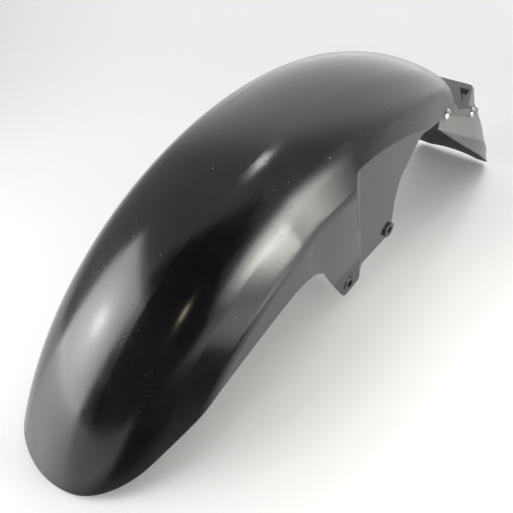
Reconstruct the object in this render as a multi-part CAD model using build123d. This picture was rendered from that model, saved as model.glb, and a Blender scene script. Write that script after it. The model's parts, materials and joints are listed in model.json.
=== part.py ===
"""Front mudguard of a small motorcycle, lying as it rests on a table.

A moulded shell arches over the wheel, steps in at each side for the fork leg and hangs a lug with
two screw holes there. A flexible flap is riveted under its tail with four blind rivets.
Sizes are in millimetres and degrees. The model is drawn about the wheel axle, along Y, with X
forward and Z up, and angles round the wheel are counted forward from the vertical. At the end it is
moved so that the middle of the table under it is the origin.
"""
from build123d import *
import math
import os

# Crown and wall of the shell
CROWN_RADIUS = 330.0
WALL = 2.6
CROWN_ARC_RADIUS = 110.0

# Section of the wide front and of the tail: how far the crown's arc leans at its end, the shoulder's radius
# below it, the lean of the flank below that, the radius of the crease below that, and half of the width
FRONT_CROWN_LEAN = 16.0
FRONT_SHOULDER_RADIUS = 52.0
FRONT_FLANK_LEAN = 68.0
FRONT_CREASE_RADIUS = 16.0
FRONT_HALF_WIDTH = 73.6
TAIL_CROWN_LEAN = 20.0
TAIL_SHOULDER_RADIUS = 26.0
TAIL_FLANK_LEAN = 76.0
TAIL_CREASE_RADIUS = 4.0
TAIL_HALF_WIDTH = 60.5
LUG_HALF_WIDTH = 60.8
LUG_ROOT_DEPTH = 158.0
NARROWING_START = 8.0

# Flat fork panels, sunk behind a ridge. Side view places in this and the next two groups are given
# forward of the axle and down from the top of the crown
PANEL_HALF_WIDTH = 60.4
PANEL_FLARE = 3.3
PANEL_TAPER = 2.2
PANEL_REACH = 150.0
RIDGE_FOOT = (8.2, 162.0)
RIDGE_LEAN = 19.5
RIDGE_SLOPE = 29.0
RIDGE_BLEND_RADIUS = 18.0

# Side outline of the shell, from the nose to the tail
NOSE_ANGLE = 67.56
NOSE_EDGE_DIP = (262.0, 186.5)
SKIRT_EDGE_BULGE = (204.0, 156.0)
ARCH_TOP = (86.6, 113.1)
FRONT_LUG_TIP = (26.5, 193.4)
FRONT_LUG_HEEL = (4.0, 186.3)
LUG_NOTCH = (1.5, 169.0)
REAR_LUG_TIP = (-49.5, 161.8)
REAR_EDGE_FOOT = (-39.5, 118.0)
REAR_EDGE_HEAD = (-38.5, 95.0)
TAIL_EDGE_START = (-62.0, 60.0)
OUTLINE_RADII = (120.0, 120.0, 42.0, 7.0, 5.0, 6.0, 9.0, 30.0, 25.0, 14.0, 150.0, 5.0)

# Screw holes of the lugs
FRONT_HOLE = (20.8, 180.0)
REAR_HOLE = (-40.0, 152.0)
HOLE_DIAMETER = 7.5
RIM_DIAMETER = 15.0
RIM_HEIGHT = 0.8
RIM_ROOT_SHARE = 0.95

# Tail of the shell, which leaves the arch and runs straight. Places on it, here and in the next groups, are
# given along its run and down from the line of its crown
TAIL_SLOPE = 24.4
TAIL_LENGTH = 104.0
TAIL_SIDE_DEPTH = 27.0
TAIL_EDGE_BULGE = (7.5, 36.7)

# Hollow across the tail and the lip that rises behind it, with a funnel in each half of its face
HOLLOW_FRONT = (-1.4, 0.0)
HOLLOW_WALL_FOOT = (19.2, 23.7)
HOLLOW_FLOOR_FRONT = (38.7, 28.0)
HOLLOW_FLOOR_BACK = (TAIL_LENGTH - 27.1, 23.6)
BESIDE_LIP_STEP = 4.5
BESIDE_LIP_FLOOR_END = (TAIL_LENGTH + 1.0, 19.0)
LIP_HEIGHT = 1.5
LIP_HALF_WIDTH = 38.0
LIP_FOOT_HALF_WIDTH = 50.0
LIP_THICKNESS = 3.0
LIP_CORNER_RADIUS = 6.0
FUNNEL_SPACING = 66.0
FUNNEL_WIDTH = 12.0
FUNNEL_LENGTH = 19.0
FUNNEL_SPLAY = 6.0
FUNNEL_MARGIN = 8.0
FUNNEL_DEPTH = 4.0
FUNNEL_FLOOR_SHARE = 0.45

# Flap
FLAP_THICKNESS = 2.4
FLAP_GAP = 0.2
FLAP_FRONT_OVERLAP = 4.0
FLAP_EDGE_START = (-17.2, 50.1)
FLAP_DROOP = 49.5
FLAP_BOW = 7.0
FLAP_MIDDLE_SHARE = 0.45
FLAP_MIDDLE_SPREAD = 1.15
FLAP_CORNER_TRIM = 1.5
FLAP_HEM_DEPTH = 52.0
FLAP_END_HALF_WIDTH = 50.0
FLAP_END_SAG = 7.0
FLAP_EAR_DROP = 20.0

# Blind rivets, each given by its distance along the tail and its distance down the flank
FRONT_RIVET = (6.7, 12.0)
REAR_RIVET = (TAIL_LENGTH - 19.8, 1.4)
RIVET_HEAD_DIAMETER = 11.0
RIVET_HEAD_HEIGHT = 2.6
RIVET_DOME_SHARE = 0.8
RIVET_SHANK_DIAMETER = 4.8
RIVET_CORE_DIAMETER = 2.8
RIVET_BULB_DIAMETER = 6.8
RIVET_BULB_LENGTH = 4.0
RIVET_CLEARANCE = 0.1
RIVET_SEAT_GAP = 0.5
MANDREL_SINK = 1.0

# Cutting bodies reach this far past the part
MARGIN = 60.0


def polar(radius: float, angle: float) -> tuple[float, float]:
    """Side view point at a distance from the axle and an angle forward of the vertical."""
    turn = math.radians(angle)
    return (radius * math.sin(turn), radius * math.cos(turn))


def along(start: tuple[float, float], step: tuple[float, float], length: float) -> tuple[float, float]:
    """Point reached from a start by a length along a step."""
    return (start[0] + length * step[0], start[1] + length * step[1])


def side_plane(point: tuple[float, float], angle: float) -> Plane:
    """Plane across the part through a side view point, facing forward, leant forward by an angle."""
    turn = math.radians(angle)
    facing = (math.cos(turn), 0, -math.sin(turn))
    return Plane(origin=(point[0], 0, point[1]), x_dir=(0, 1, 0), z_dir=facing)


def side_prism(outline: Wire, half_width: float) -> Part:
    """Solid across the part with a closed side view outline."""
    return extrude(make_face(Plane.XZ * outline), amount=half_width, both=True)


def closed_outline(points: list[tuple[float, float]]) -> Wire:
    """Closed outline with straight sides."""
    return Wire.make_polygon([Vector(*point) for point in points], close=True)


def both_sides(pieces: list[Part]) -> list[Part]:
    """Pieces of the left side followed by their mirror images on the right side."""
    return pieces + [mirror(piece, about=Plane.XZ) for piece in pieces]


def below_crown(place: tuple[float, float]) -> tuple[float, float]:
    """Side view point of a place given forward of the axle and down from the top of the crown."""
    return (place[0], CROWN_RADIUS - place[1])


# Section of the arch, whose profiles are given as in the groups at the top

FRONT_PROFILE = (FRONT_CROWN_LEAN, FRONT_SHOULDER_RADIUS, FRONT_FLANK_LEAN, FRONT_CREASE_RADIUS,
                 FRONT_HALF_WIDTH)
TAIL_PROFILE = (TAIL_CROWN_LEAN, TAIL_SHOULDER_RADIUS, TAIL_FLANK_LEAN, TAIL_CREASE_RADIUS, TAIL_HALF_WIDTH)
LUG_ROOT = below_crown((LUG_HALF_WIDTH, LUG_ROOT_DEPTH))
SECTION_FOOT_RADIUS = math.hypot(*below_crown(FRONT_LUG_TIP)) - 0.5 * MARGIN
NARROWING_STEPS = 4
LEAD_IN_STEPS = 2
NARROWING_STEP = (NARROWING_START + TAIL_SLOPE) / NARROWING_STEPS


def miter(corner: tuple[float, float], before: tuple[float, float], after: tuple[float, float],
          inset: float) -> tuple[float, float]:
    """Corner of two straight walls moved in by a distance, from the outward normals of the walls."""
    share = -inset / (1 + before[0] * after[0] + before[1] * after[1])
    return along(corner, (before[0] + after[0], before[1] + after[1]), share)


def half_section(profile: tuple[float, ...], inset: float) -> dict[str, tuple[float, float]]:
    """Points of one half of the arch's section, moved in by a distance.

    Each point is given sideways from the middle and out from the axle.
    """
    crown_lean, shoulder_radius, flank_lean, crease_radius, half_width = profile
    crown_centre = (0, CROWN_RADIUS - CROWN_ARC_RADIUS)
    crown_turn = polar(1, crown_lean)
    flank_turn = polar(1, flank_lean)
    shoulder_middle_turn = polar(1, (crown_lean + flank_lean) / 2)
    shoulder_centre = along(crown_centre, crown_turn, CROWN_ARC_RADIUS - shoulder_radius)
    flank_top = along(shoulder_centre, flank_turn, shoulder_radius)
    flank_drop = (half_width - flank_top[0]) * math.tan(math.radians(flank_lean))
    crease = (half_width, flank_top[1] - flank_drop)
    skirt_length = math.dist(crease, LUG_ROOT)
    skirt_normal = ((crease[1] - LUG_ROOT[1]) / skirt_length, (LUG_ROOT[0] - crease[0]) / skirt_length)
    lug_normal = (1, 0)
    crease_centre = miter(crease, flank_turn, skirt_normal, crease_radius)
    crease_middle = (flank_turn[0] + skirt_normal[0], flank_turn[1] + skirt_normal[1])
    crease_reach = crease_radius - inset
    return {
        "crown_end": along(crown_centre, crown_turn, CROWN_ARC_RADIUS - inset),
        "shoulder_middle": along(shoulder_centre, shoulder_middle_turn, shoulder_radius - inset),
        "shoulder_end": along(shoulder_centre, flank_turn, shoulder_radius - inset),
        "crease": miter(crease, flank_turn, skirt_normal, inset),
        "crease_start": along(crease_centre, flank_turn, crease_reach),
        "crease_middle": along(crease_centre, crease_middle, crease_reach / math.hypot(*crease_middle)),
        "crease_end": along(crease_centre, skirt_normal, crease_reach),
        "lug_root": miter(LUG_ROOT, skirt_normal, lug_normal, inset),
        "foot": (LUG_HALF_WIDTH - inset, SECTION_FOOT_RADIUS - inset),
    }


def arch_section(profile: tuple[float, ...], inset: float, angle: float) -> Face:
    """Closed section of the arch, moved in by a distance, at an angle round the axle."""
    left = half_section(profile, inset)
    right = {name: (-sideways, out) for name, (sideways, out) in left.items()}
    walls = ("crease_end", "lug_root", "foot")
    with BuildSketch(Plane.YZ) as section_sketch:
        with BuildLine():
            ThreePointArc(right["crown_end"], (0, CROWN_RADIUS - inset), left["crown_end"])
            for side in (left, right):
                ThreePointArc(side["crown_end"], side["shoulder_middle"], side["shoulder_end"])
                Line(side["shoulder_end"], side["crease_start"])
                ThreePointArc(side["crease_start"], side["crease_middle"], side["crease_end"])
            Polyline([left[name] for name in walls] + [right[name] for name in reversed(walls)])
        make_face()
    return section_sketch.sketch.face().rotate(Axis.Y, angle)


# Straight tail, measured along its run and out from the line of the crown

TAIL_DIP = math.radians(TAIL_SLOPE)
TAIL_START = polar(CROWN_RADIUS, -TAIL_SLOPE)
TAIL_RUN = (-math.cos(TAIL_DIP), -math.sin(TAIL_DIP))
TAIL_RISE = (-math.sin(TAIL_DIP), math.cos(TAIL_DIP))


def tail_point(run: float, rise: float) -> tuple[float, float]:
    """Side view point at a distance along the tail and a height above its crown."""
    return along(along(TAIL_START, TAIL_RUN, run), TAIL_RISE, rise)


def along_tail(distance: float) -> Pos:
    """Move along the tail."""
    return Pos(distance * TAIL_RUN[0], 0, distance * TAIL_RUN[1])


def tail_place(place: tuple[float, float]) -> tuple[float, float]:
    """Side view point of a place given along the tail and down from the line of its crown."""
    return tail_point(place[0], -place[1])


# Body of the shell, before it is hollowed and trimmed

def smooth_arch(inset: float) -> Part:
    """Arch from past the nose, narrowing over the fork to the bend, with the straight tail."""
    sections = []
    for step in range(-LEAD_IN_STEPS, NARROWING_STEPS + 1):
        share = max(step, 0) / NARROWING_STEPS
        profile = tuple(a + share * (b - a) for a, b in zip(FRONT_PROFILE, TAIL_PROFILE))
        sections.append(arch_section(profile, inset, NARROWING_START - step * NARROWING_STEP))
    nose_reach = NOSE_ANGLE - NARROWING_START - NARROWING_STEP
    nose = revolve(sections[0], axis=Axis.Y, revolution_arc=nose_reach)
    tail = extrude(sections[-1], amount=TAIL_LENGTH + MARGIN, dir=(TAIL_RUN[0], 0, TAIL_RUN[1]))
    return nose + loft(sections) + tail


def fork_recesses(growth: float) -> Part:
    """Room outside the fork panels and behind their ridges, grown by a distance."""
    lean = math.radians(RIDGE_LEAN)
    foot = below_crown(RIDGE_FOOT)
    ridge = Plane(origin=(foot[0], 0, foot[1]), x_dir=(-math.cos(lean), 0, math.sin(lean)),
                  z_dir=(math.sin(lean), 0, math.cos(lean)))
    height = FRONT_HALF_WIDTH - PANEL_HALF_WIDTH + MARGIN
    slope_reach = height / math.tan(math.radians(RIDGE_SLOPE))
    corners = [(0, 0), (PANEL_REACH, 0), (PANEL_REACH, -height), (-slope_reach, -height)]
    across = make_face(closed_outline(corners))
    inner_corner = across.vertices().sort_by_distance((0, 0))[0]
    across = fillet(inner_corner, RIDGE_BLEND_RADIUS)
    if growth:
        across = offset(across, amount=growth, kind=Kind.INTERSECTION)
    upright = extrude(ridge * across, amount=CROWN_RADIUS / 2, both=True)
    root = LUG_ROOT[1]
    left = Pos(0, PANEL_HALF_WIDTH, root) * Rot(-PANEL_FLARE, 0, PANEL_TAPER) * Pos(0, 0, -root) * upright
    return Part() + both_sides([left])


def stepped_arch(inset: float) -> Part:
    """Arch with its fork panels, moved in by a distance."""
    return smooth_arch(inset) - fork_recesses(inset)


# Hollow, lip and funnels of the tail

LIP_TOP = tail_point(TAIL_LENGTH - LIP_THICKNESS, LIP_HEIGHT)
LIP_FOOT = tail_place(HOLLOW_FLOOR_BACK)
LIP_FACE_LENGTH = math.dist(LIP_FOOT, LIP_TOP)
LIP_FACE_RISE = ((LIP_TOP[0] - LIP_FOOT[0]) / LIP_FACE_LENGTH, (LIP_TOP[1] - LIP_FOOT[1]) / LIP_FACE_LENGTH)


def hollow(growth: float) -> Part:
    """Room in the hollow across the tail, grown by a distance."""
    sky = CROWN_RADIUS + MARGIN
    front = tail_place(HOLLOW_FRONT)
    lip_end = along(LIP_FOOT, LIP_FACE_RISE, LIP_FACE_LENGTH + MARGIN)
    outline = closed_outline([(front[0], sky), front, tail_place(HOLLOW_WALL_FOOT),
                              tail_place(HOLLOW_FLOOR_FRONT), LIP_FOOT, lip_end, (lip_end[0], sky)])
    room = make_face(Plane.XZ * outline)
    if growth:
        room = offset(room, amount=growth, kind=Kind.INTERSECTION)
    floor_start = along(LIP_FOOT, LIP_FACE_RISE, BESIDE_LIP_STEP)
    tail_floor = closed_outline([floor_start, tail_place(BESIDE_LIP_FLOOR_END), lip_end])
    beside_lip = make_face(Plane.XZ * tail_floor)
    if growth:
        beside_lip = offset(beside_lip, amount=growth, kind=Kind.INTERSECTION)
    beside = extrude(beside_lip, amount=FRONT_HALF_WIDTH, both=True) - tail_lip(growth)
    return extrude(room, amount=FRONT_HALF_WIDTH, both=True) + beside


def tail_lip(inset: float) -> Part:
    """Block that the lip is cut from, moved in by a distance, with its foot sunk in the tail."""
    across = side_plane(tail_point(TAIL_LENGTH / 2, 0), -TAIL_SLOPE)
    foot_depth = HOLLOW_FLOOR_BACK[1]
    half_view = [(LIP_HALF_WIDTH, LIP_HEIGHT), (LIP_FOOT_HALF_WIDTH, -foot_depth),
                 (LIP_FOOT_HALF_WIDTH, -2 * foot_depth)]
    front_view = Polygon(*half_view, *[(-sideways, out) for sideways, out in reversed(half_view)], align=None)
    top_corners = front_view.vertices().group_by(Axis.Y)[-1]
    front_view = fillet(top_corners, LIP_CORNER_RADIUS)
    if inset:
        front_view = offset(front_view, amount=-inset)
    return extrude(across * front_view, amount=TAIL_LENGTH / 2 + MARGIN, dir=(TAIL_RUN[0], 0, TAIL_RUN[1]))


def funnels(growth: float) -> Part:
    """Three sided funnels in the face of the lip, one in each half, grown by a distance."""
    face_angle = math.degrees(math.atan2(LIP_FACE_RISE[0], LIP_FACE_RISE[1]))
    face_plane = side_plane(LIP_TOP, face_angle)
    rim = Polygon((-FUNNEL_WIDTH / 2 - growth, growth), (FUNNEL_WIDTH / 2 + growth, growth),
                  (FUNNEL_SPLAY, -FUNNEL_LENGTH - growth), align=None)
    floor_shift = (1 - FUNNEL_FLOOR_SHARE) / 3
    floor = Pos(floor_shift * FUNNEL_SPLAY, -floor_shift * FUNNEL_LENGTH) * scale(rim, by=FUNNEL_FLOOR_SHARE)
    sunk = loft([rim, Pos(0, 0, -FUNNEL_DEPTH - growth) * floor])
    left = Pos(FUNNEL_SPACING / 2, -FUNNEL_MARGIN, 0) * sunk
    pair = [left, mirror(left, about=Plane.YZ)]
    return face_plane * (pair[0] + pair[1])


# Trimming outline and holes of the shell

def shell_outline() -> Wire:
    """Side view of the shell's room: below it is the moulding's free edge from nose to tail."""
    nose = polar(CROWN_RADIUS, NOSE_ANGLE)
    dip = below_crown(NOSE_EDGE_DIP)
    nose_end = along(nose, (nose[0] - dip[0], nose[1] - dip[1]), 1)
    tail_corner = tail_point(TAIL_LENGTH, -TAIL_SIDE_DEPTH)
    tail_end = tail_point(TAIL_LENGTH, LIP_HEIGHT + MARGIN)
    sky = CROWN_RADIUS + LIP_HEIGHT + MARGIN
    side_places = [SKIRT_EDGE_BULGE, ARCH_TOP, FRONT_LUG_TIP, FRONT_LUG_HEEL, LUG_NOTCH, REAR_LUG_TIP,
                   REAR_EDGE_FOOT, REAR_EDGE_HEAD, TAIL_EDGE_START]
    corners = [dip] + [below_crown(place) for place in side_places] + [tail_place(TAIL_EDGE_BULGE), tail_corner]
    edge = FilletPolyline([nose_end] + corners + [tail_end], radius=list(OUTLINE_RADII))
    lid = Polyline([tail_end, (tail_end[0], sky), (nose_end[0], sky), nose_end])
    return Wire([*edge.edges(), *lid.edges()])


def across_rod(spot: tuple[float, float], diameter: float, half_length: float) -> Part:
    """Round rod across the part at a side view place."""
    return extrude(Plane.XZ * (Pos(*spot) * Circle(diameter / 2)), amount=half_length, both=True)


# Blind rivets

RIVET_GRIP = WALL + FLAP_GAP + FLAP_THICKNESS


def rivet_planes() -> list[Plane]:
    """Planes of the rivets on the outside of the left rear shoulder, each facing out."""
    crown_centre = (0, CROWN_RADIUS - CROWN_ARC_RADIUS)
    shoulder_reach = CROWN_ARC_RADIUS - TAIL_SHOULDER_RADIUS
    shoulder_centre = along(crown_centre, polar(1, TAIL_CROWN_LEAN), shoulder_reach)
    facing = polar(1, TAIL_FLANK_LEAN)
    flank_top = along(shoulder_centre, facing, TAIL_SHOULDER_RADIUS)
    planes = []
    for run, drop in (FRONT_RIVET, REAR_RIVET):
        spot = along(flank_top, polar(1, TAIL_FLANK_LEAN + 90), drop)
        upright = Plane(origin=(0, *spot), x_dir=(1, 0, 0), z_dir=(0, *facing))
        planes.append(Plane(along_tail(run) * Rot(0, -TAIL_SLOPE, 0) * upright.location))
    return planes


def rivet_holes() -> list[Part]:
    """Drills for the rivets, through shell and flap."""
    depth = 2 * (RIVET_GRIP + RIVET_BULB_LENGTH)
    drill = Cylinder(RIVET_SHANK_DIAMETER / 2 + RIVET_CLEARANCE, depth)
    return both_sides([plane * drill for plane in rivet_planes()])


def rivet_body() -> Part:
    """Blind rivet with a domed head above the plane, a hollow core and a bulb below the flap."""
    core = RIVET_CORE_DIAMETER / 2
    shank = RIVET_SHANK_DIAMETER / 2
    head = RIVET_HEAD_DIAMETER / 2
    bulb = RIVET_BULB_DIAMETER / 2
    dome_middle = ((head + core) / 2, RIVET_DOME_SHARE * RIVET_HEAD_HEIGHT)
    seat = -RIVET_GRIP - RIVET_SEAT_GAP
    tail = -RIVET_GRIP - RIVET_BULB_LENGTH
    with BuildSketch(Plane.XZ) as profile:
        with BuildLine():
            ThreePointArc((head, 0), dome_middle, (core, RIVET_HEAD_HEIGHT))
            Polyline((core, RIVET_HEAD_HEIGHT), (core, tail), (shank, tail), (bulb, tail + bulb - shank),
                     (bulb, seat), (shank, seat), (shank, 0), (head, 0))
        make_face()
    return revolve(profile.sketch, axis=Axis.Z)


def rivet_mandrel() -> Part:
    """Broken mandrel that stays in a rivet: its stem in the core and its head below the bulb."""
    tail = -RIVET_GRIP - RIVET_BULB_LENGTH
    stem_length = RIVET_HEAD_HEIGHT - MANDREL_SINK - tail
    stem = Pos(0, 0, tail) * Cylinder(RIVET_CORE_DIAMETER / 2, stem_length,
                                      align=(Align.CENTER, Align.CENTER, Align.MIN))
    cap = Pos(0, 0, tail) * Cylinder(RIVET_SHANK_DIAMETER / 2, MANDREL_SINK,
                                     align=(Align.CENTER, Align.CENTER, Align.MAX))
    return stem + cap


# Flap

FLAP_WIDTH_SHARES = {"crown_top": 0.0, "crown_end": 0.35, "shoulder_middle": 0.5, "shoulder_end": 0.65,
                     "crease": 0.85, "hem": 1.0}
FLAP_OUTER_INSET = WALL + FLAP_GAP
FLAP_INNER_INSET = FLAP_OUTER_INSET + FLAP_THICKNESS
NOSE_HEIGHT = polar(CROWN_RADIUS, NOSE_ANGLE)[1]
FLAP_BEND = tail_point(TAIL_LENGTH, -FLAP_OUTER_INSET)
FLAP_DIP = math.radians(FLAP_DROOP)
FLAP_END_RISE = (FLAP_END_SAG + FLAP_THICKNESS) * math.cos(FLAP_DIP)
FLAP_LENGTH = (FLAP_BEND[1] - NOSE_HEIGHT - FLAP_END_RISE) / math.sin(FLAP_DIP)
FLAP_END = along(FLAP_BEND, (-math.cos(FLAP_DIP), -math.sin(FLAP_DIP)), FLAP_LENGTH)
FLAP_MIDDLE_LEAN = -(TAIL_SLOPE + FLAP_DROOP) / 2
FLAP_CHORD_MIDDLE = ((FLAP_BEND[0] + FLAP_END[0]) / 2, (FLAP_BEND[1] + FLAP_END[1]) / 2)
FLAP_MIDDLE = along(FLAP_CHORD_MIDDLE, polar(1, FLAP_MIDDLE_LEAN), FLAP_BOW)


def band(outer: dict[str, tuple[float, float]], inner: dict[str, tuple[float, float]]) -> Sketch:
    """Bent strip between two half outlines and their mirror images."""
    with BuildSketch() as strip:
        with BuildLine():
            for half in (outer, inner):
                mirrored = {name: (-sideways, out) for name, (sideways, out) in half.items()}
                ThreePointArc(mirrored["crown_end"], half["crown_top"], half["crown_end"])
                for side in (half, mirrored):
                    ThreePointArc(side["crown_end"], side["shoulder_middle"], side["shoulder_end"])
                    Polyline(side["shoulder_end"], side["crease"], side["hem"])
            for sign in (1, -1):
                Line((sign * outer["hem"][0], outer["hem"][1]), (sign * inner["hem"][0], inner["hem"][1]))
        make_face()
    return strip.sketch


def flap_half(inset: float) -> dict[str, tuple[float, float]]:
    """Half outline of the flap where it lies under the shell."""
    half = half_section(TAIL_PROFILE, inset)
    hem = along(half["crease"], (0, -1), FLAP_HEM_DEPTH)
    return {"crown_top": (0, CROWN_RADIUS - inset), "hem": hem, **half}


def flap_end_half(inset: float) -> dict[str, tuple[float, float]]:
    """Half outline of the flap's free end, a shallow bow below the end's top."""
    return {name: (share * FLAP_END_HALF_WIDTH, -share ** 2 * FLAP_END_SAG - inset)
            for name, share in FLAP_WIDTH_SHARES.items()}


def flap_middle_half(inset: float) -> dict[str, tuple[float, float]]:
    """Half outline of the flap halfway to its free end, below the middle's top."""
    top = CROWN_RADIUS - FLAP_OUTER_INSET
    tucked = flap_half(FLAP_OUTER_INSET + inset)
    half = {}
    for name, (sideways, out) in flap_end_half(inset).items():
        bent = (tucked[name][0], tucked[name][1] - top)
        mixed = along((sideways, out), (bent[0] - sideways, bent[1] - out), FLAP_MIDDLE_SHARE)
        half[name] = (FLAP_MIDDLE_SPREAD * mixed[0], mixed[1])
    return half


def flap_relief() -> Part:
    """Room over the flap's ears, below the hollow of the shell and in front of it."""
    ear_corners = [(-MARGIN, FLAP_EAR_DROP), (HOLLOW_FLOOR_FRONT[0], FLAP_EAR_DROP),
                   (HOLLOW_FLOOR_FRONT[0], -MARGIN), (-MARGIN, -MARGIN)]
    ear_room = closed_outline([tail_place(corner) for corner in ear_corners])
    roof = WALL + FLAP_GAP
    return hollow(roof) + funnels(roof + FLAP_GAP) + side_prism(ear_room, FRONT_HALF_WIDTH)


def flap_room() -> Part:
    """Room above the flap's straight cut edges, from its front corners to its end corners."""
    inward = polar(1, 180 - FLAP_DROOP)
    corner = along(FLAP_END, inward, FLAP_END_SAG - FLAP_CORNER_TRIM)
    start = tail_place(FLAP_EDGE_START)
    run = (corner[0] - start[0], corner[1] - start[1])
    front = along(start, run, -1)
    back = along(corner, run, 1)
    sky = CROWN_RADIUS + MARGIN
    return side_prism(closed_outline([front, back, (back[0], sky), (front[0], sky)]), FRONT_HALF_WIDTH)


def rear_flap() -> Part:
    """Flap bent to the shell's inside under the tail and flattening to its free end."""
    tucked_section = band(flap_half(FLAP_OUTER_INSET), flap_half(FLAP_INNER_INSET))
    bend_section = (Rot(0, -TAIL_SLOPE, 0) * (Plane.YZ * tucked_section)).face()
    tucked_length = FLAP_FRONT_OVERLAP + TAIL_LENGTH
    tucked = extrude(along_tail(-FLAP_FRONT_OVERLAP) * bend_section, amount=tucked_length,
                     dir=(TAIL_RUN[0], 0, TAIL_RUN[1]))
    end_section = band(flap_end_half(0), flap_end_half(FLAP_THICKNESS))
    end_face = (side_plane(FLAP_END, -FLAP_DROOP) * end_section).face()
    middle_section = band(flap_middle_half(0), flap_middle_half(FLAP_THICKNESS))
    middle_face = (side_plane(FLAP_MIDDLE, FLAP_MIDDLE_LEAN) * middle_section).face()
    hanging = loft([along_tail(TAIL_LENGTH) * bend_section, middle_face, end_face])
    sheet = ((tucked + hanging) & flap_room()) - flap_relief()
    return sheet - rivet_holes()


# Shell

def mudguard_shell() -> Part:
    """One moulding: hollow arch with fork panels, grooved tail, lugs, screw holes and rivet holes."""
    outside = stepped_arch(0) + tail_lip(0) - hollow(0) - funnels(0)
    inside = stepped_arch(WALL) + tail_lip(WALL) - hollow(WALL) - funnels(WALL)
    shell = outside - inside
    screw_spots = (below_crown(FRONT_HOLE), below_crown(REAR_HOLE))
    for spot in screw_spots:
        rim = across_rod(spot, RIM_DIAMETER, LUG_HALF_WIDTH + RIM_HEIGHT)
        shell += rim - across_rod(spot, RIM_DIAMETER, LUG_HALF_WIDTH - RIM_ROOT_SHARE * WALL)
    shell &= side_prism(shell_outline(), FRONT_HALF_WIDTH + RIM_HEIGHT)
    for spot in screw_spots:
        shell -= across_rod(spot, HOLE_DIAMETER, FRONT_HALF_WIDTH)
    return shell - rivet_holes()


def main() -> None:
    """Build every piece, stand the part on the origin and write one file for each node."""
    places = rivet_planes()
    nodes = {
        "mudguard_shell": mudguard_shell(),
        "rear_flap": rear_flap(),
        "rivets": Compound(both_sides([plane * rivet_body() for plane in places])),
        "rivet_mandrels": Compound(both_sides([plane * rivet_mandrel() for plane in places])),
    }
    box = Compound(list(nodes.values())).bounding_box()
    to_rest = Pos(-(box.min.X + box.max.X) / 2, 0, -box.min.Z)
    os.makedirs("parts", exist_ok=True)
    for name, piece in nodes.items():
        export_step(to_rest * piece, f"parts/{name}.step")
        print(name, len(piece.solids()), round(piece.volume), piece.is_valid)
    print("axle at", to_rest.position)


main()
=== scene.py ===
"""Looks of a motorcycle front mudguard: finishes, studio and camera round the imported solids.

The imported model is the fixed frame, in metres, with X to the front of the motorcycle and Z up.
Its four nodes keep their shapes here and take procedural finishes.
"""

import json
import logging
import math
from dataclasses import dataclass
from enum import Enum
from typing import Any

import bpy
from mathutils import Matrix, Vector

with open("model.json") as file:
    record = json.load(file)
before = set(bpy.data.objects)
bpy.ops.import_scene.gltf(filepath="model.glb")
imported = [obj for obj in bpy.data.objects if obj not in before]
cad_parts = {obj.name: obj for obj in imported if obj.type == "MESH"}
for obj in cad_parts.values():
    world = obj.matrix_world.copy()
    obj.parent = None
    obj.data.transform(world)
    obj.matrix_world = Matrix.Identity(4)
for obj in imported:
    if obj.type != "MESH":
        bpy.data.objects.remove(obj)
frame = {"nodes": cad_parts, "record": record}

LOGGER = logging.getLogger("mudguard_looks")
QUARTER_TURN = 90.0
NO_STRETCH = (1.0, 1.0, 1.0)
Colour = tuple[float, float, float]
Triple = tuple[float, float, float]
Socket = bpy.types.NodeSocket


class PackedNode(str, Enum):
    """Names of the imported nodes."""

    SHELL = "mudguard_shell"
    FLAP = "rear_flap"
    RIVETS = "rivets"
    MANDRELS = "rivet_mandrels"


class SocketKind(str, Enum):
    """Kinds of socket that the shared groups have."""

    NUMBER = "NodeSocketFloat"
    VECTOR = "NodeSocketVector"


@dataclass(frozen=True)
class SmudgePattern:
    """Soft patches: a broad noise with a finer one mixed in."""

    broad_detail: float = 3.0
    broad_share: float = 0.65
    fine_ratio: float = 6.0
    fine_detail: float = 4.0
    fine_roughness: float = 0.6
    fine_share: float = 0.35
    start: float = 0.36
    full: float = 0.68


@dataclass(frozen=True)
class ScratchFamily:
    """Scratches of one direction, which are the peaks of a noise drawn out along them."""

    turn: Triple
    stretch: Triple
    start: float
    full: float


ALONG_SCRATCHES = ScratchFamily(
    turn=(0.2, 0.9, 0.3),
    stretch=(1.0, 24.0, 24.0),
    start=0.725,
    full=0.75,
)
ACROSS_SCRATCHES = ScratchFamily(
    turn=(-0.4, 0.3, 1.1),
    stretch=(1.0, 30.0, 30.0),
    start=0.73,
    full=0.755,
)


@dataclass(frozen=True)
class ScratchPattern:
    """Two families of scratches, which show only in patches."""

    families: tuple[ScratchFamily, ScratchFamily] = (ALONG_SCRATCHES, ACROSS_SCRATCHES)
    detail: float = 1.0
    patch_detail: float = 2.0
    patch_start: float = 0.52
    patch_full: float = 0.66


@dataclass(frozen=True)
class SpeckPattern:
    """Grains of dust. The rarity is a power that leaves few of them large."""

    rarity: float = 9.0


@dataclass(frozen=True)
class EdgePattern:
    """Eased edges. The likenesses are cosines between the eased normal and the plain one."""

    samples: int = 6
    flat_likeness: float = 0.99
    edge_likeness: float = 0.8


@dataclass(frozen=True)
class DustAndSheenPattern:
    """Dust on faces that look upwards, partly painted sheen that lightens their colour. The slopes
    are heights of the unit normal, which is 1 on a level face.
    """

    bare_slope: float = -0.15
    full_slope: float = 0.25
    cloud_scale: float = 30.0
    cloud_detail: float = 4.0
    thin_share: float = 0.7


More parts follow.
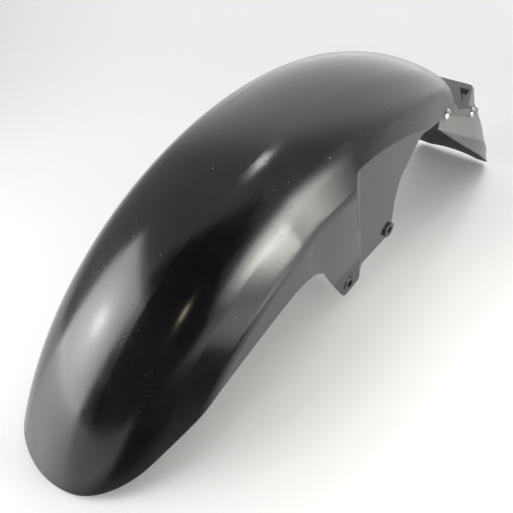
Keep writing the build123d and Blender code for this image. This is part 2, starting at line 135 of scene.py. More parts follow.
@dataclass(frozen=True)
class ShellFinish:
    """Gloss black moulded plastic that has been handled and kept on a shelf.

    Places, radii, reaches and depths are in metres, and scales are features to the metre. The
    rust offset runs from the middle of the fork screws to the hole that a rusty screw stained.
    """

    colour: Colour = (0.003, 0.003, 0.0033)
    haze_colour: Colour = (0.006, 0.006, 0.0063)
    dust_colour: Colour = (0.24, 0.235, 0.22)
    ior: float = 1.65
    roughness: float = 0.14
    smudge_roughness: float = 0.22
    smudge_scale: float = 14.0
    # Dust with painted sheen: a pale layer on faces that look upwards towards the tail.
    dust_and_sheen_colour: Colour = (0.1, 0.099, 0.095)
    dust_and_sheen_share: float = 0.75
    dust_and_sheen_start: float = -0.05
    dust_and_sheen_full: float = -0.24
    edge_radius: float = 0.0016
    seam_radius: float = 0.009
    seam_place: Triple = (0.132, 0.068, 0.125)
    seam_reach: float = 0.04
    seam_core: float = 0.022
    wave_scale: float = 16.0
    wave_detail: float = 1.0
    wave_depth: float = 0.00016
    peel_scale: float = 420.0
    peel_detail: float = 2.0
    peel_depth: float = 0.00002
    scratch_scale: float = 26.0
    scratch_share: float = 0.12
    scratch_depth: float = 0.00004
    scratch_dulling: float = 0.14
    speck_scale: float = 105.0
    speck_size: float = 0.085
    chip_turn: Triple = (0.5, 0.9, 0.3)
    chip_scale: float = 80.0
    chip_size: float = 0.11
    mark_dulling: float = 0.5
    rust_colour: Colour = (0.045, 0.027, 0.014)
    rust_offset: Triple = (-0.0304, 0.0, 0.014)
    rust_reach: float = 0.0046
    rust_core_share: float = 0.68
    rust_scale: float = 900.0
    rust_detail: float = 3.0
    rust_start: float = 0.3
    rust_full: float = 0.6


@dataclass(frozen=True)
class FlapFinish:
    """Satin black sheet, scuffed by road grit, with dust and painted sheen that lighten the faces
    that look upwards.
    """

    colour: Colour = (0.02, 0.02, 0.0205)
    scuff_colour: Colour = (0.09, 0.089, 0.086)
    # Dust with painted sheen on faces that look upwards.
    dust_and_sheen_colour: Colour = (0.22, 0.219, 0.213)
    dust_and_sheen_share: float = 0.85
    smudge_share: float = 0.4
    edge_share: float = 0.5
    ior: float = 1.5
    roughness: float = 0.33
    scuff_roughness: float = 0.46
    edge_radius: float = 0.0006
    grain_scale: float = 1700.0
    grain_detail: float = 3.0
    grain_depth: float = 0.00003
    smudge_scale: float = 20.0
    scratch_scale: float = 44.0


@dataclass(frozen=True)
class MetalFinish:
    """Bare metal with a dulled skin."""

    name: str
    colour: Colour
    dull_colour: Colour
    roughness: float
    dull_roughness: float
    smudge_scale: float
    grain_scale: float
    grain_depth: float
    grain_detail: float = 2.0


RIVET_FINISH = MetalFinish(
    name="bright_rivet_metal",
    colour=(0.66, 0.65, 0.63),
    dull_colour=(0.32, 0.31, 0.29),
    roughness=0.18,
    dull_roughness=0.4,
    smudge_scale=420.0,
    grain_scale=2600.0,
    grain_depth=0.00003,
)
MANDREL_FINISH = MetalFinish(
    name="dark_mandrel_steel",
    colour=(0.16, 0.15, 0.145),
    dull_colour=(0.07, 0.055, 0.045),
    roughness=0.42,
    dull_roughness=0.65,
    smudge_scale=700.0,
    grain_scale=3200.0,
    grain_depth=0.00005,
)


class Spot(Enum):
    """Points of the shell that the lamps face, in metres."""

    NOSE = (0.2533, 0.0082, 0.1017)
    FLANK = (0.1415, 0.0661, 0.1355)
    CROWN = (0.1313, 0.0353, 0.1765)
    SHOULDER = (0.218, 0.0503, 0.1146)


@dataclass(frozen=True)
class Lamp:
    """A flat studio lamp that faces a point of the shell and is brightest in its middle.

    Azimuth runs from +X towards +Y, in degrees, and radiance 1 shows as white. Rim is the share
    of the middle's radiance that is left at the edge.
    """

    name: str
    target: Spot
    azimuth: float
    elevation: float
    distance: float
    width: float
    height: float
    radiance: float
    rim: float = 0.0
    colour: Colour = (1.0, 1.0, 1.0)
    round_face: bool = False


LAMPS = (
    Lamp(
        name="left_softbox",
        target=Spot.NOSE,
        azimuth=-38.5,
        elevation=17.0,
        distance=0.7,
        width=0.56,
        height=0.66,
        radiance=7.0,
        rim=0.55,
    ),
    Lamp(
        name="left_softbox_bulb",
        target=Spot.NOSE,
        azimuth=-37.0,
        elevation=19.0,
        distance=0.68,
        width=0.2,
        height=0.2,
        radiance=8.0,
        round_face=True,
    ),
    Lamp(
        name="right_softbox",
        target=Spot.FLANK,
        azimuth=107.0,
        elevation=7.0,
        distance=0.46,
        width=0.6,
        height=0.4,
        radiance=8.0,
        rim=0.04,
        colour=(1.0, 0.98, 0.93),
    ),
    Lamp(
        name="right_softbox_bulb",
        target=Spot.FLANK,
        azimuth=107.0,
        elevation=-3.0,
        distance=0.44,
        width=0.34,
        height=0.18,
        radiance=8.0,
        colour=(1.0, 0.97, 0.9),
        round_face=True,
    ),
    Lamp(
        name="overhead_lamp",
        target=Spot.CROWN,
        azimuth=165.0,
        elevation=84.0,
        distance=1.2,
        width=0.3,
        height=0.3,
        radiance=15.0,
        round_face=True,
    ),
    Lamp(
        name="warm_lamp",
        target=Spot.SHOULDER,
        azimuth=54.0,
        elevation=25.0,
        distance=0.9,
        width=0.13,
        height=0.13,
        radiance=11.0,
        colour=(1.0, 0.86, 0.62),
        round_face=True,
    ),
)
# The middle of a lamp's face and the distance to its edge, in the face's own coordinates.
LAMP_MIDDLE = (0.5, 0.5, 0.0)
LAMP_EDGE = 0.5


@dataclass(frozen=True)
class Card:
    """A dark card with soft borders that shows only in reflections.

    It stands with its middle at the level of the floor, or lies on the floor. Start is how far it
    is from the middle of the part, along its azimuth, and shift moves it to the left of that line.
    """

    name: str
    azimuth: float
    start: float
    width: float
    length: float
    shift: float
    upright: bool


CARDS = (
    Card(
        name="dark_card",
        azimuth=33.5,
        start=1.0,
        width=3.0,
        length=5.4,
        shift=0.0,
        upright=True,
    ),
    Card(
        name="dark_floor_card",
        azimuth=48.0,
        start=0.16,
        width=0.34,
        length=1.1,
        shift=-0.065,
        upright=False,
    ),
)
CARD_LIFT = 0.0005


@dataclass(frozen=True)
class CardFinish:
    """Dull black that fades to nothing from solid to edge, in shares of the card's sides."""

    colour: Colour = (0.012, 0.012, 0.012)
    roughness: float = 1.0
    solid: float = 0.36
    edge: float = 0.5


@dataclass(frozen=True)
class Stage:
    """Pale floor, and a room that is brighter behind the part. Angles are in degrees."""

    floor_size: float = 6.0
    pale: Colour = (0.88, 0.88, 0.875)
    pale_spot: Colour = (0.85, 0.85, 0.84)
    roughness: float = 0.3
    cloud_scale: float = 3.0
    cloud_detail: float = 3.0
    room: Colour = (0.46, 0.46, 0.46)
    bright_room: Colour = (1.48, 1.48, 1.48)
    bright_azimuth: float = -162.0
    bright_elevation: float = 24.0
    bright_core: float = 34.0
    bright_reach: float = 60.0


@dataclass(frozen=True)
class PhotoCamera:
    """The photograph's viewpoint, measured from the middle of the fork screws."""

    offset: Triple = (0.34945, 0.23424, 0.30285)
    look: Triple = (-0.57633, -0.52213, -0.62868)
    lens: float = 36.0
    sensor: float = 36.0
    near: float = 0.01


def heading(azimuth: float, elevation: float) -> Vector:
    """Gives a unit direction.

    Args:
        azimuth: Angle from +X towards +Y, in degrees.
        elevation: Angle above the floor, in degrees.

    Returns:
        The direction as a unit vector.
    """
    turn = math.radians(azimuth)
    rise = math.radians(elevation)
    flat = math.cos(rise)
    return Vector((flat * math.cos(turn), flat * math.sin(turn), math.sin(rise)))


def rgba(colour: Colour) -> tuple[float, float, float, float]:
    """Adds a full alpha to a colour."""
    return (*colour, 1.0)


class NodeSheet:
    """A node tree with short calls to fill it.

    A Mix node has sockets for every type of data, so those of one type go by their numbers.
    """

    COLOUR_INPUTS = (6, 7)
    COLOUR_OUTPUT = 2
    VECTOR_INPUTS = (4, 5)
    VECTOR_OUTPUT = 1
    NUMBER_OPERATIONS = ("DISTANCE", "DOT_PRODUCT", "LENGTH")

    def __init__(self, tree: bpy.types.NodeTree) -> None:
        """Takes over a node tree."""
        self.tree = tree

    def add(self, kind: str, **settings: Any) -> bpy.types.Node:
        """Adds a node.

        Args:
            kind: Blender's node type.
            settings: Attributes to set on the node.

        Returns:
            The new node.
        """
        node = self.tree.nodes.new(kind)
        for name, value in settings.items():
            setattr(node, name, value)
        return node

    def join(self, source: Socket, target: Socket) -> None:
        """Links an output to an input."""
        self.tree.links.new(source, target)

    def feed(self, target: Socket, value: Any) -> None:
        """Links a socket to an input, or sets a constant on it.

        Args:
            target: The input.
            value: An output socket or a constant.
        """
        if isinstance(value, Socket):
            self.join(value, target)
            return
        target.default_value = value

    def math(self, operation: str, *values: Any) -> Socket:
        """Adds a math node.

        Args:
            operation: Blender's name of the operation.
            values: Sockets or constants for its inputs, in order.

        Returns:
            The node's output.
        """
        node = self.add("ShaderNodeMath", operation=operation)
        for target, value in zip(node.inputs, values):
            self.feed(target, value)
        return node.outputs["Value"]

    def vector_math(self, operation: str, *values: Any) -> Socket:
        """Adds a vector math node.

        Args:
            operation: Blender's name of the operation.
            values: Sockets or constants for its inputs, in order.

        Returns:
            The node's number where the operation gives one, and otherwise its vector.
        """
        node = self.add("ShaderNodeVectorMath", operation=operation)
        for target, value in zip(node.inputs, values):
            self.feed(target, value)
        return node.outputs["Value" if operation in self.NUMBER_OPERATIONS else "Vector"]

    def split(self, vector: Socket) -> bpy.types.NodeOutputs:
        """Splits a vector.

        Args:
            vector: The vector.

        Returns:
            Its coordinates, as outputs named X, Y and Z.
        """
        node = self.add("ShaderNodeSeparateXYZ")
        self.join(vector, node.inputs["Vector"])
        return node.outputs

    def ramp(self, value: Any, low: float, high: float) -> Socket:
        """Maps a value smoothly from 0 at low to 1 at high.

        Args:
            value: The value to map.
            low: Where the result is 0.
            high: Where the result is 1.

        Returns:
            The mapped value.
        """
        node = self.add("ShaderNodeMapRange", interpolation_type="SMOOTHSTEP")
        self.feed(node.inputs["Value"], value)
        node.inputs["From Min"].default_value = low
        node.inputs["From Max"].default_value = high
        return node.outputs["Result"]

    def spread(self, value: Any, low: float, high: float) -> Socket:
        """Maps 0 to 1 onto a range.

        Args:
            value: The value to map.
            low: The result at 0.
            high: The result at 1.

        Returns:
            The mapped value.
        """
        node = self.add("ShaderNodeMapRange")
        self.feed(node.inputs["Value"], value)
        node.inputs["To Min"].default_value = low
        node.inputs["To Max"].default_value = high
        return node.outputs["Result"]

    def blend(self, share: Any, first: Any, second: Any) -> Socket:
        """Mixes two colours.

        Args:
            share: How much of the second colour shows.
            first: Socket or colour shown at 0.
            second: Socket or colour shown at 1.

        Returns:
            The mixed colour.
        """
        node = self.add("ShaderNodeMix", data_type="RGBA")
        self.feed(node.inputs["Factor"], share)
        for number, value in zip(self.COLOUR_INPUTS, (first, second)):
            self.feed(node.inputs[number], value)
        return node.outputs[self.COLOUR_OUTPUT]

    def blend_normals(self, share: Any, first: Socket, second: Socket) -> Socket:
        """Mixes two normals.

        Args:
            share: How much of the second normal counts.
            first: The normal at 0.
            second: The normal at 1.

        Returns:
            The mixed normal.
        """
        node = self.add("ShaderNodeMix", data_type="VECTOR")
        self.feed(node.inputs["Factor"], share)
        for number, value in zip(self.VECTOR_INPUTS, (first, second)):
            self.join(value, node.inputs[number])
        return node.outputs[self.VECTOR_OUTPUT]

    def noise(self, place: Any, scale: Any, detail: float, roughness: float = 0.5) -> Socket:
        """Adds a noise texture.

        Args:
            place: The coordinates.
            scale: Features to the metre.
            detail: How many finer layers it has.
            roughness: How strong the finer layers are.

        Returns:
            The noise, from 0 to 1.
        """
        node = self.add("ShaderNodeTexNoise")
        self.feed(node.inputs["Vector"], place)
        self.feed(node.inputs["Scale"], scale)
        node.inputs["Detail"].default_value = detail
        node.inputs["Roughness"].default_value = roughness
        return node.outputs["Fac"]

    def stretched(self, place: Any, turn: Triple, scale: Triple) -> Socket:
        """Turns and stretches coordinates.

        Args:
            place: The coordinates.
            turn: Rotation about each axis, in radians.
            scale: Scale along each axis.

        Returns:
            The new coordinates.
        """
        node = self.add("ShaderNodeMapping")
        self.feed(node.inputs["Vector"], place)
        node.inputs["Rotation"].default_value = turn
        node.inputs["Scale"].default_value = scale
        return node.outputs["Vector"]

    def bump(self, height: Socket, depth: float, normal: Socket | None = None) -> Socket:
        """Raises or sinks the surface in its shading.

        Args:
            height: The height, from 0 to 1.
            depth: The height of 1, in metres.
            normal: The normal to start from.

        Returns:
            The new normal.
        """
        node = self.add("ShaderNodeBump")
        node.inputs["Distance"].default_value = depth
        self.join(height, node.inputs["Height"])
        if normal is not None:
            self.join(normal, node.inputs["Normal"])
        return node.outputs["Normal"]

    def group(self, tree: bpy.types.NodeTree, **inputs: Any) -> bpy.types.NodeOutputs:
        """Places a shared group.

        Args:
            tree: The group.
            inputs: Sockets or constants by input name.

        Returns:
            The outputs of the placed group, by name.
        """
        node = self.add("ShaderNodeGroup", node_tree=tree)
        for label, value in inputs.items():
            self.feed(node.inputs[label], value)
        return node.outputs


class Effects:
    """Node groups that several finishes share."""

    def __init__(self) -> None:
        """Makes every group once."""
        self.smudges = self._smudges(SmudgePattern())
        self.scratches = self._scratches(ScratchPattern())
        self.specks = self._specks(SpeckPattern())
        self.edges = self._edges(EdgePattern())
        self.dust_and_sheen = self._dust_and_sheen(DustAndSheenPattern())

    @staticmethod
    def _start(
        name: str, inputs: dict[str, SocketKind], outputs: dict[str, SocketKind]
    ) -> tuple[NodeSheet, bpy.types.NodeOutputs, bpy.types.NodeInputs]:
        """Opens a new group.

        Args:
            name: The group's name.
            inputs: Socket kinds by input name.
            outputs: Socket kinds by output name.

        Returns:
            The sheet, the sockets that give the group's inputs and those that take its outputs.
        """
        tree = bpy.data.node_groups.new(name, "ShaderNodeTree")
        for label, kind in inputs.items():
            tree.interface.new_socket(label, in_out="INPUT", socket_type=kind.value)
        for label, kind in outputs.items():
            tree.interface.new_socket(label, in_out="OUTPUT", socket_type=kind.value)
        sheet = NodeSheet(tree)
        return sheet, sheet.add("NodeGroupInput").outputs, sheet.add("NodeGroupOutput").inputs

    def _smudges(self, pattern: SmudgePattern) -> bpy.types.NodeTree:
        """Makes soft patches of wiped and dulled surface.

        Args:
            pattern: How the patches are mixed.

        Returns:
            The group.
        """
        sheet, given, result = self._start(
            "wiped_smudges",
            {"Vector": SocketKind.VECTOR, "Scale": SocketKind.NUMBER},
            {"Smudge": SocketKind.NUMBER},
        )
        broad = sheet.noise(given["Vector"], given["Scale"], pattern.broad_detail)
        fine_scale = sheet.math("MULTIPLY", given["Scale"], pattern.fine_ratio)
        fine = sheet.noise(given["Vector"], fine_scale, pattern.fine_detail, pattern.fine_roughness)
        base = sheet.math("MULTIPLY", broad, pattern.broad_share)
        mixed = sheet.math("MULTIPLY_ADD", fine, pattern.fine_share, base)
        sheet.join(sheet.ramp(mixed, pattern.start, pattern.full), result["Smudge"])
        return sheet.tree

    def _scratches(self, pattern: ScratchPattern) -> bpy.types.NodeTree:
        """Makes two families of long thin scratches that come and go.

        Args:
            pattern: The two families and their patches.

        Returns:
            The group.
        """
        sheet, given, result = self._start(
            "thin_scratches",
            {"Vector": SocketKind.VECTOR, "Scale": SocketKind.NUMBER},
            {"Scratch": SocketKind.NUMBER},
        )
        spots = sheet.noise(given["Vector"], given["Scale"], pattern.patch_detail)
        patches = sheet.ramp(spots, pattern.patch_start, pattern.patch_full)
        lines = []
        for family in pattern.families:
            drawn = sheet.stretched(given["Vector"], family.turn, family.stretch)
            peaks = sheet.noise(drawn, given["Scale"], pattern.detail)
            lines.append(sheet.ramp(peaks, family.start, family.full))
        either = sheet.math("MAXIMUM", *lines)
        sheet.join(sheet.math("MULTIPLY", either, patches), result["Scratch"])
        return sheet.tree

    def _specks(self, pattern: SpeckPattern) -> bpy.types.NodeTree:
        """Makes sparse round grains of dust of unequal size.

        Args:
            pattern: How rare large grains are.

        Returns:
            The group.
        """
        sheet, given, result = self._start(
            "dust_specks",
            {"Vector": SocketKind.VECTOR, "Scale": SocketKind.NUMBER, "Size": SocketKind.NUMBER},
            {"Speck": SocketKind.NUMBER},
        )
        cells = sheet.add("ShaderNodeTexVoronoi")
        sheet.join(given["Vector"], cells.inputs["Vector"])
        sheet.join(given["Scale"], cells.inputs["Scale"])
        chance = sheet.add("ShaderNodeSeparateColor")
        sheet.join(cells.outputs["Color"], chance.inputs["Color"])
        large = sheet.math("POWER", chance.outputs["Red"], pattern.rarity)
        reach = sheet.math("MULTIPLY", large, given["Size"])
        inside = sheet.math("LESS_THAN", cells.outputs["Distance"], reach)
        sheet.join(inside, result["Speck"])
        return sheet.tree

    def _edges(self, pattern: EdgePattern) -> bpy.types.NodeTree:
        """Rounds the sharp edges of a moulding in its shading.

        Args:
            pattern: How finely edges are sampled and what counts as one.

        Returns:
            The group.
        """
        sheet, given, result = self._start(
            "eased_edges",
            {"Radius": SocketKind.NUMBER},
            {"Normal": SocketKind.VECTOR, "Edge": SocketKind.NUMBER},
        )
        bevel = sheet.add("ShaderNodeBevel", samples=pattern.samples)
        sheet.join(given["Radius"], bevel.inputs["Radius"])
        eased = bevel.outputs["Normal"]
        plain = sheet.add("ShaderNodeNewGeometry").outputs["Normal"]
        likeness = sheet.vector_math("DOT_PRODUCT", eased, plain)
        edge = sheet.ramp(likeness, pattern.flat_likeness, pattern.edge_likeness)
        sheet.join(eased, result["Normal"])
        sheet.join(edge, result["Edge"])
        return sheet.tree

    def _dust_and_sheen(self, pattern: DustAndSheenPattern) -> bpy.types.NodeTree:
        """Makes a layer of fine dust and painted sheen on faces that look upwards, which lightens
        their colour.

        Args:
            pattern: Which faces it settles on and how even it is.

        Returns:
            The group.
        """
        sheet, given, result = self._start(
            "settled_dust_and_painted_sheen", {"Vector": SocketKind.VECTOR}, {"DustAndSheen": SocketKind.NUMBER}
        )
        facing = sheet.split(sheet.add("ShaderNodeNewGeometry").outputs["Normal"])
        upward = sheet.ramp(facing["Z"], pattern.bare_slope, pattern.full_slope)
        clouds = sheet.noise(given["Vector"], pattern.cloud_scale, pattern.cloud_detail)
        uneven = sheet.spread(clouds, pattern.thin_share, 1.0)
        sheet.join(sheet.math("MULTIPLY", upward, uneven), result["DustAndSheen"])
        return sheet.tree


def blank_material(name: str) -> tuple[bpy.types.Material, NodeSheet, bpy.types.NodeInputs, Socket]:
    """Opens a new material.

    Args:
        name: The material's name.

    Returns:
        The material, its sheet, the inputs of its shader and the object coordinates.
    """
    material = bpy.data.materials.new(name)
    material.use_nodes = True
    sheet = NodeSheet(material.node_tree)
    shader = material.node_tree.nodes["Principled BSDF"].inputs
    place = sheet.add("ShaderNodeTexCoord").outputs["Object"]
    return material, sheet, shader, place


@dataclass(frozen=True)
class ShellMarks:
    """Masks of the marks on the shell, from 0 to 1."""

    smudge: Socket
    scratch: Socket
    speck: Socket
    chip: Socket
    stain: Socket


class Finishes:
    """The materials of the part."""

    def __init__(self, effects: Effects) -> None:
        """Keeps the groups that the materials share."""
        self.effects = effects

    def gloss_shell(self, finish: ShellFinish, screws: Vector) -> bpy.types.Material:
        """Makes the gloss black plastic of the shell.

        Args:
            finish: Its colours and scales.
            screws: The middle of the fork screws.

        Returns:
            The material.
        """
        material, sheet, shader, place = blank_material("gloss_black_plastic")
        marks = self._shell_marks(sheet, place, finish, screws)
        sheet.join(self._shell_colour(sheet, place, finish, marks), shader["Base Color"])
        sheet.join(self._shell_roughness(sheet, finish, marks), shader["Roughness"])
        sheet.join(self._shell_normal(sheet, place, finish, marks), shader["Normal"])
        shader["IOR"].default_value = finish.ior
        return material

    def _shell_marks(
        self, sheet: NodeSheet, place: Socket, finish: ShellFinish, screws: Vector
    ) -> ShellMarks:
        """Masks the marks that handling and storage left on the shell.

        Args:
            sheet: The material's sheet.
            place: The object coordinates.
            finish: The scales of the marks.
            screws: The middle of the fork screws.

        Returns:
            The masks.
        """
        groups = self.effects
        smudge = sheet.group(groups.smudges, Vector=place, Scale=finish.smudge_scale)
        scratch = sheet.group(groups.scratches, Vector=place, Scale=finish.scratch_scale)
        speck = sheet.group(
            groups.specks, Vector=place, Scale=finish.speck_scale, Size=finish.speck_size
        )
        turned = sheet.stretched(place, finish.chip_turn, NO_STRETCH)
        chip = sheet.group(
            groups.specks, Vector=turned, Scale=finish.chip_scale, Size=finish.chip_size
        )
        return ShellMarks(
            smudge=smudge["Smudge"],
            scratch=scratch["Scratch"],
            speck=speck["Speck"],
            chip=chip["Speck"],
            stain=self._ring_stain(sheet, place, finish, screws),
        )

    @staticmethod
    def _ring_stain(sheet: NodeSheet, place: Socket, finish: ShellFinish, screws: Vector) -> Socket:
        """Masks the wall of the stained screw hole and a little of the face round it.

        Args:
            sheet: The material's sheet.
            place: The object coordinates.
            finish: Where the hole is and how far the stain reaches.
            screws: The middle of the fork screws.

        Returns:
            The mask.
        """
        square_to_axis = (1.0, 0.0, 1.0)
        offset = sheet.vector_math("SUBTRACT", place, screws + Vector(finish.rust_offset))
        flat = sheet.vector_math("MULTIPLY", offset, square_to_axis)
        distance = sheet.vector_math("LENGTH", flat)
        near = sheet.ramp(distance, finish.rust_reach, finish.rust_reach * finish.rust_core_share)
        grains = sheet.noise(place, finish.rust_scale, finish.rust_detail)
        broken = sheet.ramp(grains, finish.rust_start, finish.rust_full)
        return sheet.math("MULTIPLY", near, broken)

    def _shell_colour(
        self, sheet: NodeSheet, place: Socket, finish: ShellFinish, marks: ShellMarks
    ) -> Socket:
        """Colours the shell: black with haze, dust, a layer of dust and painted sheen on upward
        faces towards the tail, and rust.

        Args:
            sheet: The material's sheet.
            place: The object coordinates.
            finish: The colours.
            marks: The masks of the marks.

        Returns:
            The colour.
        """
        hazed = sheet.blend(marks.smudge, rgba(finish.colour), rgba(finish.haze_colour))
        faint = sheet.math("MULTIPLY", marks.scratch, finish.scratch_share)
        pale = sheet.math("MAXIMUM", marks.speck, faint)
        dusty = sheet.blend(pale, hazed, rgba(finish.dust_colour))
        # Dust and painted sheen: faces that look upwards towards the tail are lightened in colour.
        dust_and_sheen = sheet.group(self.effects.dust_and_sheen, Vector=place)
        rear = sheet.ramp(sheet.split(place)["X"], finish.dust_and_sheen_start, finish.dust_and_sheen_full)
        dust_and_sheen_mask = sheet.math("MULTIPLY", dust_and_sheen["DustAndSheen"], rear)
        share = sheet.math("MULTIPLY", dust_and_sheen_mask, finish.dust_and_sheen_share)
        dust_and_sheen_coloured = sheet.blend(share, dusty, rgba(finish.dust_and_sheen_colour))
        return sheet.blend(marks.stain, dust_and_sheen_coloured, rgba(finish.rust_colour))

    @staticmethod
    def _shell_roughness(sheet: NodeSheet, finish: ShellFinish, marks: ShellMarks) -> Socket:
        """Dulls the shell where it is wiped, scratched, chipped or stained.

        Args:
            sheet: The material's sheet.
            finish: The roughnesses.
            marks: The masks of the marks.

        Returns:
            The roughness.
        """
        wiped = sheet.spread(marks.smudge, finish.roughness, finish.smudge_roughness)
        worn = sheet.math("MULTIPLY_ADD", marks.scratch, finish.scratch_dulling, wiped)
        marked = sheet.math("MAXIMUM", marks.speck, marks.chip)
        dull = sheet.math("MAXIMUM", marked, marks.stain)
        return sheet.math("MULTIPLY_ADD", dull, finish.mark_dulling, worn)

    def _shell_normal(
        self, sheet: NodeSheet, place: Socket, finish: ShellFinish, marks: ShellMarks
    ) -> Socket:
        """Eases the shell's edges and seam, and adds its waves, moulding skin and scratches.

        Args:
            sheet: The material's sheet.
            place: The object coordinates.
            finish: The radii, scales and depths.
            marks: The masks of the marks.

        Returns:
            The normal.
        """
        eased = sheet.group(self.effects.edges, Radius=finish.edge_radius)
        smooth = self._blended_seam(sheet, place, finish, eased["Normal"])
        waves = sheet.noise(place, finish.wave_scale, finish.wave_detail)
        wavy = sheet.bump(waves, finish.wave_depth, smooth)
        skin = sheet.noise(place, finish.peel_scale, finish.peel_detail)
        peeled = sheet.bump(skin, finish.peel_depth, wavy)
        return sheet.bump(marks.scratch, finish.scratch_depth, peeled)

    def _blended_seam(
        self, sheet: NodeSheet, place: Socket, finish: ShellFinish, normal: Socket
    ) -> Socket:
        """Blends the flanks into the fork panels in their shading, alike on both sides.

        Args:
            sheet: The material's sheet.
            place: The object coordinates.
            finish: Where the seam lies and how far the blend reaches.
            normal: The normal away from the seam.

        Returns:
            The blended normal.
        """
        broad = sheet.group(self.effects.edges, Radius=finish.seam_radius)
        sides = sheet.split(place)
        folded = sheet.add("ShaderNodeCombineXYZ")
        sheet.join(sides["X"], folded.inputs["X"])
        sheet.join(sheet.math("ABSOLUTE", sides["Y"]), folded.inputs["Y"])
        sheet.join(sides["Z"], folded.inputs["Z"])
        distance = sheet.vector_math("DISTANCE", folded.outputs["Vector"], finish.seam_place)
        near = sheet.ramp(distance, finish.seam_reach, finish.seam_core)
        return sheet.blend_normals(near, normal, broad["Normal"])

    def satin_flap(self, finish: FlapFinish) -> bpy.types.Material:
        """Makes the satin black sheet of the rear flap.

        Args:
            finish: Its colours and scales.

        Returns:
            The material.
        """
        material, sheet, shader, place = blank_material("satin_black_sheet")
        groups = self.effects
        smudge = sheet.group(groups.smudges, Vector=place, Scale=finish.smudge_scale)
        scratch = sheet.group(groups.scratches, Vector=place, Scale=finish.scratch_scale)
        eased = sheet.group(groups.edges, Radius=finish.edge_radius)
        # Dust and painted sheen: faces that look upwards are lightened in colour, while faces that
        # look down stay dark.
        dust_and_sheen = sheet.group(groups.dust_and_sheen, Vector=place)
        scuffed = sheet.math("MULTIPLY", smudge["Smudge"], finish.smudge_share)
        marked = sheet.math("MAXIMUM", scuffed, scratch["Scratch"])
        rubbed = sheet.math("MULTIPLY", eased["Edge"], finish.edge_share)
        worn = sheet.math("MAXIMUM", marked, rubbed)
        clean = sheet.blend(worn, rgba(finish.colour), rgba(finish.scuff_colour))
        dust_and_sheen_mask = sheet.math("MULTIPLY", dust_and_sheen["DustAndSheen"], finish.dust_and_sheen_share)
        dust_and_sheen_coloured = sheet.blend(dust_and_sheen_mask, clean, rgba(finish.dust_and_sheen_colour))
        rough = sheet.spread(worn, finish.roughness, finish.scuff_roughness)
        grain = sheet.noise(place, finish.grain_scale, finish.grain_detail)
        sheet.join(dust_and_sheen_coloured, shader["Base Color"])
        sheet.join(rough, shader["Roughness"])
        sheet.join(sheet.bump(grain, finish.grain_depth, eased["Normal"]), shader["Normal"])
        shader["IOR"].default_value = finish.ior
        return material

    def metal(self, finish: MetalFinish) -> bpy.types.Material:
        """Makes the bare metal of a fastener.

        Args:
            finish: Its colours and scales.

        Returns:
            The material.
        """
        material, sheet, shader, place = blank_material(finish.name)
        smudge = sheet.group(self.effects.smudges, Vector=place, Scale=finish.smudge_scale)
        dulled = smudge["Smudge"]
        colour = sheet.blend(dulled, rgba(finish.colour), rgba(finish.dull_colour))
        rough = sheet.spread(dulled, finish.roughness, finish.dull_roughness)
        grain = sheet.noise(place, finish.grain_scale, finish.grain_detail)
        sheet.join(colour, shader["Base Color"])
        sheet.join(rough, shader["Roughness"])
        sheet.join(sheet.bump(grain, finish.grain_depth), shader["Normal"])
        shader["Metallic"].default_value = 1.0
        return material


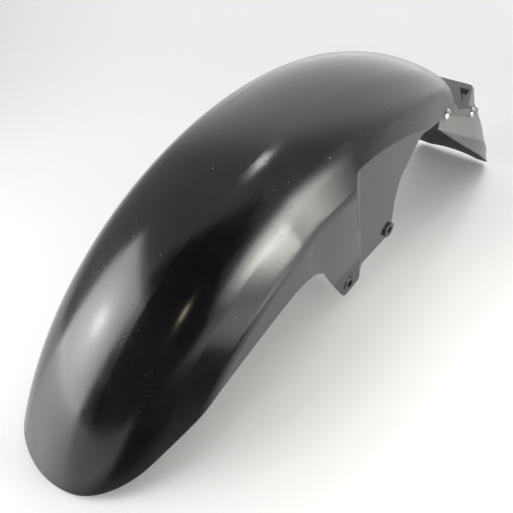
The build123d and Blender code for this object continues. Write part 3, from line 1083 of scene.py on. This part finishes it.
class Studio:
    """Floor, cards, lamps, room light and camera."""

    def __init__(self, stage: Stage) -> None:
        """Keeps the sizes and colours of the floor and room."""
        self.stage = stage

    def add_floor(self) -> None:
        """Adds the plain pale floor that the part stands on."""
        bpy.ops.object.select_all(action="DESELECT")
        bpy.ops.mesh.primitive_plane_add(size=self.stage.floor_size)
        floor = bpy.context.active_object
        floor.name = "floor"
        material, sheet, shader, place = blank_material("pale_floor")
        clouds = sheet.noise(place, self.stage.cloud_scale, self.stage.cloud_detail)
        colour = sheet.blend(clouds, rgba(self.stage.pale), rgba(self.stage.pale_spot))
        sheet.join(colour, shader["Base Color"])
        shader["Roughness"].default_value = self.stage.roughness
        floor.data.materials.append(material)

    def add_card(self, card: Card, finish: CardFinish) -> None:
        """Adds one dark card.

        Args:
            card: Where it is and how large.
            finish: Its colour and soft borders.
        """
        away = heading(card.azimuth, 0.0)
        aside = card.shift * heading(card.azimuth + QUARTER_TURN, 0.0)
        bpy.ops.object.select_all(action="DESELECT")
        bpy.ops.mesh.primitive_plane_add(size=1.0)
        piece = bpy.context.active_object
        piece.name = card.name
        piece.scale = (card.width, card.length, 1.0)
        if card.upright:
            piece.rotation_euler = away.to_track_quat("Z", "Y").to_euler()
            piece.location = card.start * away + aside
        else:
            piece.rotation_euler = (0.0, 0.0, math.radians(card.azimuth - QUARTER_TURN))
            middle = card.start + card.length / 2
            piece.location = middle * away + aside + Vector((0.0, 0.0, CARD_LIFT))
        piece.data.materials.append(self._soft_card(card.name, finish))
        piece.visible_camera = False
        piece.visible_diffuse = False
        piece.visible_shadow = False

    @staticmethod
    def _soft_card(name: str, finish: CardFinish) -> bpy.types.Material:
        """Makes the dull black of a card, which fades out along its borders.

        Args:
            name: The material's name.
            finish: The colour and soft borders.

        Returns:
            The material.
        """
        material, sheet, shader, place = blank_material(name)
        sides = sheet.split(sheet.vector_math("ABSOLUTE", place))
        reach = sheet.math("MAXIMUM", sides["X"], sides["Y"])
        sheet.join(sheet.ramp(reach, finish.edge, finish.solid), shader["Alpha"])
        shader["Base Color"].default_value = rgba(finish.colour)
        shader["Roughness"].default_value = finish.roughness
        return material

    @staticmethod
    def add_lamp(lamp: Lamp) -> None:
        """Adds one lamp.

        Args:
            lamp: Where it stands, how large it is and how bright it looks.
        """
        data = bpy.data.lights.new(lamp.name, "AREA")
        data.shape = "ELLIPSE" if lamp.round_face else "RECTANGLE"
        data.size = lamp.width
        data.size_y = lamp.height
        data.color = lamp.colour
        fill = math.pi / 4 if lamp.round_face else 1.0
        data.energy = lamp.radiance * math.pi * lamp.width * lamp.height * fill
        data.use_nodes = True
        sheet = NodeSheet(data.node_tree)
        face = sheet.add("ShaderNodeNewGeometry").outputs["Parametric"]
        reach = sheet.vector_math("DISTANCE", face, LAMP_MIDDLE)
        fade = sheet.spread(sheet.ramp(reach, LAMP_EDGE, 0.0), lamp.rim, 1.0)
        sheet.join(fade, data.node_tree.nodes["Emission"].inputs["Strength"])
        holder = bpy.data.objects.new(lamp.name, data)
        away = heading(lamp.azimuth, lamp.elevation)
        holder.location = Vector(lamp.target.value) + lamp.distance * away
        holder.rotation_euler = away.to_track_quat("Z", "Y").to_euler()
        holder.visible_camera = False
        bpy.context.scene.collection.objects.link(holder)

    def light_room(self) -> None:
        """Sets the light of the room, brighter behind the part."""
        world = bpy.data.worlds.new("room")
        world.use_nodes = True
        sheet = NodeSheet(world.node_tree)
        outward = sheet.add("ShaderNodeTexCoord").outputs["Generated"]
        brightest = heading(self.stage.bright_azimuth, self.stage.bright_elevation)
        likeness = sheet.vector_math("DOT_PRODUCT", outward, brightest)
        low = math.cos(math.radians(self.stage.bright_reach))
        high = math.cos(math.radians(self.stage.bright_core))
        behind = sheet.ramp(likeness, low, high)
        colour = sheet.blend(behind, rgba(self.stage.room), rgba(self.stage.bright_room))
        sheet.join(colour, world.node_tree.nodes["Background"].inputs["Color"])
        bpy.context.scene.world = world
        bpy.context.scene.view_settings.view_transform = "Standard"

    @staticmethod
    def add_camera(camera: PhotoCamera, screws: Vector) -> None:
        """Adds the camera at the photograph's viewpoint.

        Args:
            camera: The viewpoint and lens.
            screws: The middle of the fork screws.
        """
        data = bpy.data.cameras.new("photo_camera")
        data.sensor_fit = "HORIZONTAL"
        data.sensor_width = camera.sensor
        data.lens = camera.lens
        data.clip_start = camera.near
        holder = bpy.data.objects.new("photo_camera", data)
        holder.location = screws + Vector(camera.offset)
        holder.rotation_euler = Vector(camera.look).to_track_quat("-Z", "Y").to_euler()
        bpy.context.scene.collection.objects.link(holder)
        bpy.context.scene.camera = holder


def fork_screws() -> Vector:
    """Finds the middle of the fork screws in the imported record, on the part's middle plane.

    Returns:
        The point, in metres.
    """
    mounts = {mount["name"]: mount for mount in frame["record"]["mounts"]}
    x, _, z = mounts["left_fork_screws"]["pos_m"]
    return Vector((x, 0.0, z))


def dress(node: PackedNode, material: bpy.types.Material) -> None:
    """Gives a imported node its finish.

    Args:
        node: The node.
        material: Its material.
    """
    piece = frame["nodes"][node.value]
    piece.data.materials.clear()
    piece.data.materials.append(material)
    LOGGER.info("%s takes %s", node.value, material.name)


def main() -> None:
    """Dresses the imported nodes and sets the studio."""
    logging.basicConfig(level=logging.INFO)
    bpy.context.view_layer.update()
    screws = fork_screws()
    finishes = Finishes(Effects())
    dress(PackedNode.SHELL, finishes.gloss_shell(ShellFinish(), screws))
    dress(PackedNode.FLAP, finishes.satin_flap(FlapFinish()))
    dress(PackedNode.RIVETS, finishes.metal(RIVET_FINISH))
    dress(PackedNode.MANDRELS, finishes.metal(MANDREL_FINISH))
    studio = Studio(Stage())
    studio.add_floor()
    for card in CARDS:
        studio.add_card(card, CardFinish())
    for lamp in LAMPS:
        studio.add_lamp(lamp)
    studio.light_room()
    studio.add_camera(PhotoCamera(), screws)


if __name__ == "__main__":
    main()
